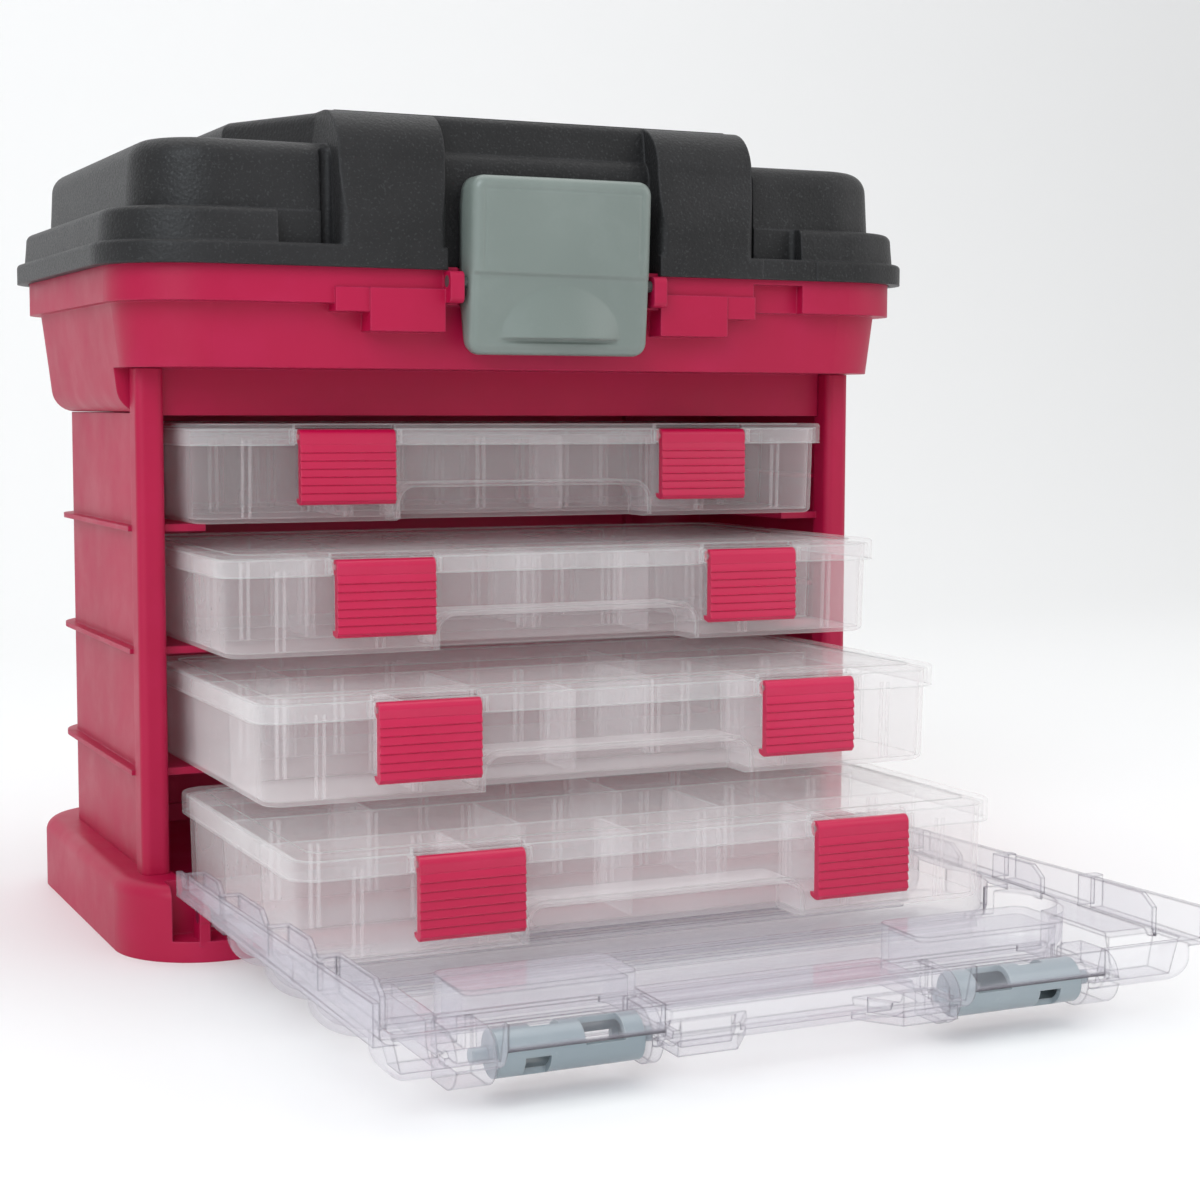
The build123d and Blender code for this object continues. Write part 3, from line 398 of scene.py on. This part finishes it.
# box latches: lapped ribs down the front, a hook behind the lower edge, a round eye on the lid's pin
def latch_profile(yf, zt):
    py, pz, z0 = yf - 0.9, zt - 4.2, zt - 26.0
    pts = []
    for a in range(0, 100, 12):                       # over the top, back to front
        t = math.radians(80 + a)
        pts.append((py + 2.4 * math.cos(t), pz + 2.4 * math.sin(t)))
    pts.append((yf - 3.3, pz - 2.2))
    n, top, low = 7, pz - 2.6, z0 + 1.0
    pitch = (top - low) / n
    for k in range(n):
        z = top - pitch * k
        pts += [(yf - 3.14, z), (yf - 3.40, z - 0.30 * pitch), (yf - 3.66, z - 0.62 * pitch), (yf - 3.73, z - 0.80 * pitch), (yf - 3.60, z - 0.93 * pitch), (yf - 3.16, z - 0.985 * pitch)]
    pts += [(yf - 3.1, z0 + 0.7), (yf - 2.6, z0 + 0.15), (yf - 1.5, z0 + 0.02), (yf + 0.2, z0 + 0.45), (yf + 1.35, z0 + 0.85), (yf + 1.75, z0 + 2.15), (yf - 0.7, z0 + 2.15)]
    pts.append((yf - 0.72, pz - 2.6))
    for a in range(-60, 78, 17):
        t = math.radians(a)
        pts.append((py + 2.4 * math.cos(t), pz + 2.4 * math.sin(t)))
    hole = [(py + 1.05 * math.cos(t), pz + 1.05 * math.sin(t)) for t in [2 * math.pi * k / 18 for k in range(18)]]
    return pts, hole


def prism(x0, x1, outer, hole, steps=4, bow=0.0):
    bm = bmesh.new()
    xs = [x0 + (x1 - x0) * k / steps for k in range(steps + 1)]
    rings = []
    for x in xs:
        rings.append([[bm.verts.new((x * MM, y * MM, z * MM)) for y, z in loop] for loop in (outer, hole)])
    for r0, r1 in zip(rings, rings[1:]):
        for l0, l1 in zip(r0, r1):
            for k in range(len(l0)):
                c = (k + 1) % len(l0)
                bm.faces.new((l0[k], l0[c], l1[c], l1[k]))
    for r in (rings[0], rings[-1]):
        es = []
        for loop in r:
            for k in range(len(loop)):
                e = bm.edges.get((loop[k], loop[(k + 1) % len(loop)]))
                es.append(e)
        bmesh.ops.triangle_fill(bm, use_beauty=True, use_dissolve=False, edges=es)
    return bm


for i in range(4):
    outer, hole = latch_profile(FRONT[i], TOP[i])
    for side, x0, x1 in (("left", -80.2, -48.1), ("right", 48.1, 80.2)):
        o = add(f"box_{i + 1}_clip_{side}", prism(x0, x1, outer, hole), box_latch, f"box_{i + 1}_latch_{side}", smooth=False)
        soften(o, 0.00022, 2, 50.0)
        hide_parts(f"box_{i + 1}_latch_{side}")

# divider slots: half-round ribs in pairs on the inside of the walls
DIVIDERS = {
    1: [(-62, 0), (20, 0), (66, 0), (-30, 1), (48, 1), (-70, 2), (10, 2)],
    2: [(-40, 0), (36, 0), (-74, 1), (6, 1), (70, 1), (-20, 2), (56, 2)],
    3: [(-66, 0), (-8, 0), (58, 0), (-34, 1), (30, 1), (-80, 2), (44, 2)],
    4: [(-58, 0), (-4, 0), (62, 0), (-30, 1), (40, 1), (-64, 2), (22, 2)],
}


def rib(bm, x, y, sy, z0, z1, lean):
    """one upright half-round rib on the wall face at y, standing out towards sy; its foot stands lean further in"""
    prof = [(0.45 * math.cos(t), 0.75 * math.sin(t) ** 0.8) for t in [math.pi * k / 6 for k in range(7)]]
    prof = [(-0.45, -0.35)] + prof[::-1] + [(0.45, -0.35)]
    rows = []
    for k, z in enumerate((z0, z0 + 0.5, z1 - 0.6, z1)):
        f = 0.6 if k in (0, 3) else 1.0
        off = lean * (z1 - z) / (z1 - z0)
        rows.append([bm.verts.new(((x + px) * MM, (y + sy * (max(py, -0.35) * (f if py > 0 else 1.0) + off)) * MM, z * MM)) for px, py in prof])
    n = len(prof)
    for r0, r1 in zip(rows, rows[1:]):
        for a in range(n):
            c = (a + 1) % n
            bm.faces.new((r0[a], r0[c], r1[c], r1[a]))
    bm.faces.new(rows[0][::-1])
    bm.faces.new(rows[-1])


for i in range(4):
    yf, zb = FRONT[i], TOP[i] - 31.75
    z0, z1 = zb + 1.6, TOP[i] - 5.2
    bm = bmesh.new()
    for r in range(3):
        at = [x for x, row in DIVIDERS[i + 1] if row == r]
        xs = at + [x for x in range(-96, 97, 32) if all(abs(x - v) > 9 for v in at)]
        for x in xs:
            for dx in (-1.2, 1.2):
                if r == 0:
                    if abs(x) > 51:
                        rib(bm, x + dx, yf + 3.5, 1, z0, z1, 0.72)
                    rib(bm, x + dx, yf + 42.6, -1, z0, z1, 0.0)
                elif r == 1:
                    rib(bm, x + dx, yf + 43.8, 1, z0, z1, 0.0)
                    rib(bm, x + dx, yf + 82.8, -1, z0, z1, 0.0)
                else:
                    rib(bm, x + dx, yf + 84.0, 1, z0, z1, 0.0)
                    rib(bm, x + dx, yf + 123.5, -1, z0, z1, 0.72)
    add(f"box_{i + 1}_slots", bm, slot_mat, f"box_{i + 1}")

# ---------------------------------------------------------------- floor and lights
fm, nt, b = new_mat("floor_pale")
b.inputs["Base Color"].default_value = (0.93, 0.93, 0.93, 1)
b.inputs["Roughness"].default_value = 0.6
bm = bmesh.new()
S, B, H, R = 3.0, 1.6, 2.6, 0.8
prof = [(-S, 0.0)]
for i in range(13):
    a = math.radians(90 * i / 12)
    prof.append((B - R + R * math.sin(a), R - R * math.cos(a)))
prof.append((B, H))
rows = [[bm.verts.new((x, y, z)) for x in (-S, S)] for y, z in prof]
for r0, r1 in zip(rows, rows[1:]):
    bm.faces.new((r0[0], r0[1], r1[1], r1[0]))
me = bpy.data.meshes.new("floor")
bm.to_mesh(me)
for p in me.polygons:
    p.use_smooth = True
floor = bpy.data.objects.new("floor", me)
bpy.context.scene.collection.objects.link(floor)
me.materials.append(fm)


def area(name, loc, target, size, power, colour=(1, 1, 1)):
    l = bpy.data.lights.new(name, "AREA")
    l.shape = "RECTANGLE"
    l.size, l.size_y = size
    l.energy = power
    l.color = colour
    o = bpy.data.objects.new(name, l)
    o.location = loc
    d = Vector(target) - Vector(loc)
    o.rotation_euler = d.to_track_quat("-Z", "Y").to_euler()
    bpy.context.scene.collection.objects.link(o)
    return o


area("key", (-1.1, -1.3, 1.1), (0, -0.05, 0.12), (1.2, 1.2), 17, (0.86, 0.94, 1.0))
area("fill", (1.5, -0.9, 0.9), (0, -0.05, 0.12), (1.4, 1.4), 6.5)
area("top", (0.0, 0.2, 1.7), (0, -0.05, 0.1), (1.8, 1.8), 11)
w = bpy.data.worlds.new("studio")
w.use_nodes = True
w.node_tree.nodes["Background"].inputs[0].default_value = (1.0, 1.0, 1.0, 1)
w.node_tree.nodes["Background"].inputs[1].default_value = 0.60
bpy.context.scene.world = w
try:
    bpy.context.scene.view_settings.view_transform = "Standard"
except TypeError:
    pass
bpy.context.scene.cycles.transparent_max_bounces = 48

# ---------------------------------------------------------------- camera
AZ, PT, RL = math.radians(25.028), math.radians(4.963), math.radians(0.154)
fw = Vector((math.sin(AZ) * math.cos(PT), math.cos(AZ) * math.cos(PT), -math.sin(PT)))
rt = Vector((math.cos(AZ), -math.sin(AZ), 0.0))
up = rt.cross(fw)
r2 = rt * math.cos(RL) + up * math.sin(RL)
u2 = -rt * math.sin(RL) + up * math.cos(RL)
cam = bpy.data.cameras.new("camera")
cam.sensor_fit = "HORIZONTAL"
cam.sensor_width = 36.0
cam.lens = 2218.5 / 1200 * 36.0
cam.clip_start = 0.01
co = bpy.data.objects.new("camera", cam)
co.matrix_world = Matrix((
    (r2.x, u2.x, -fw.x, -0.29231),
    (r2.y, u2.y, -fw.y, -0.7484),
    (r2.z, u2.z, -fw.z, 0.17293),
    (0, 0, 0, 1),
))
bpy.context.scene.collection.objects.link(co)
bpy.context.scene.camera = co
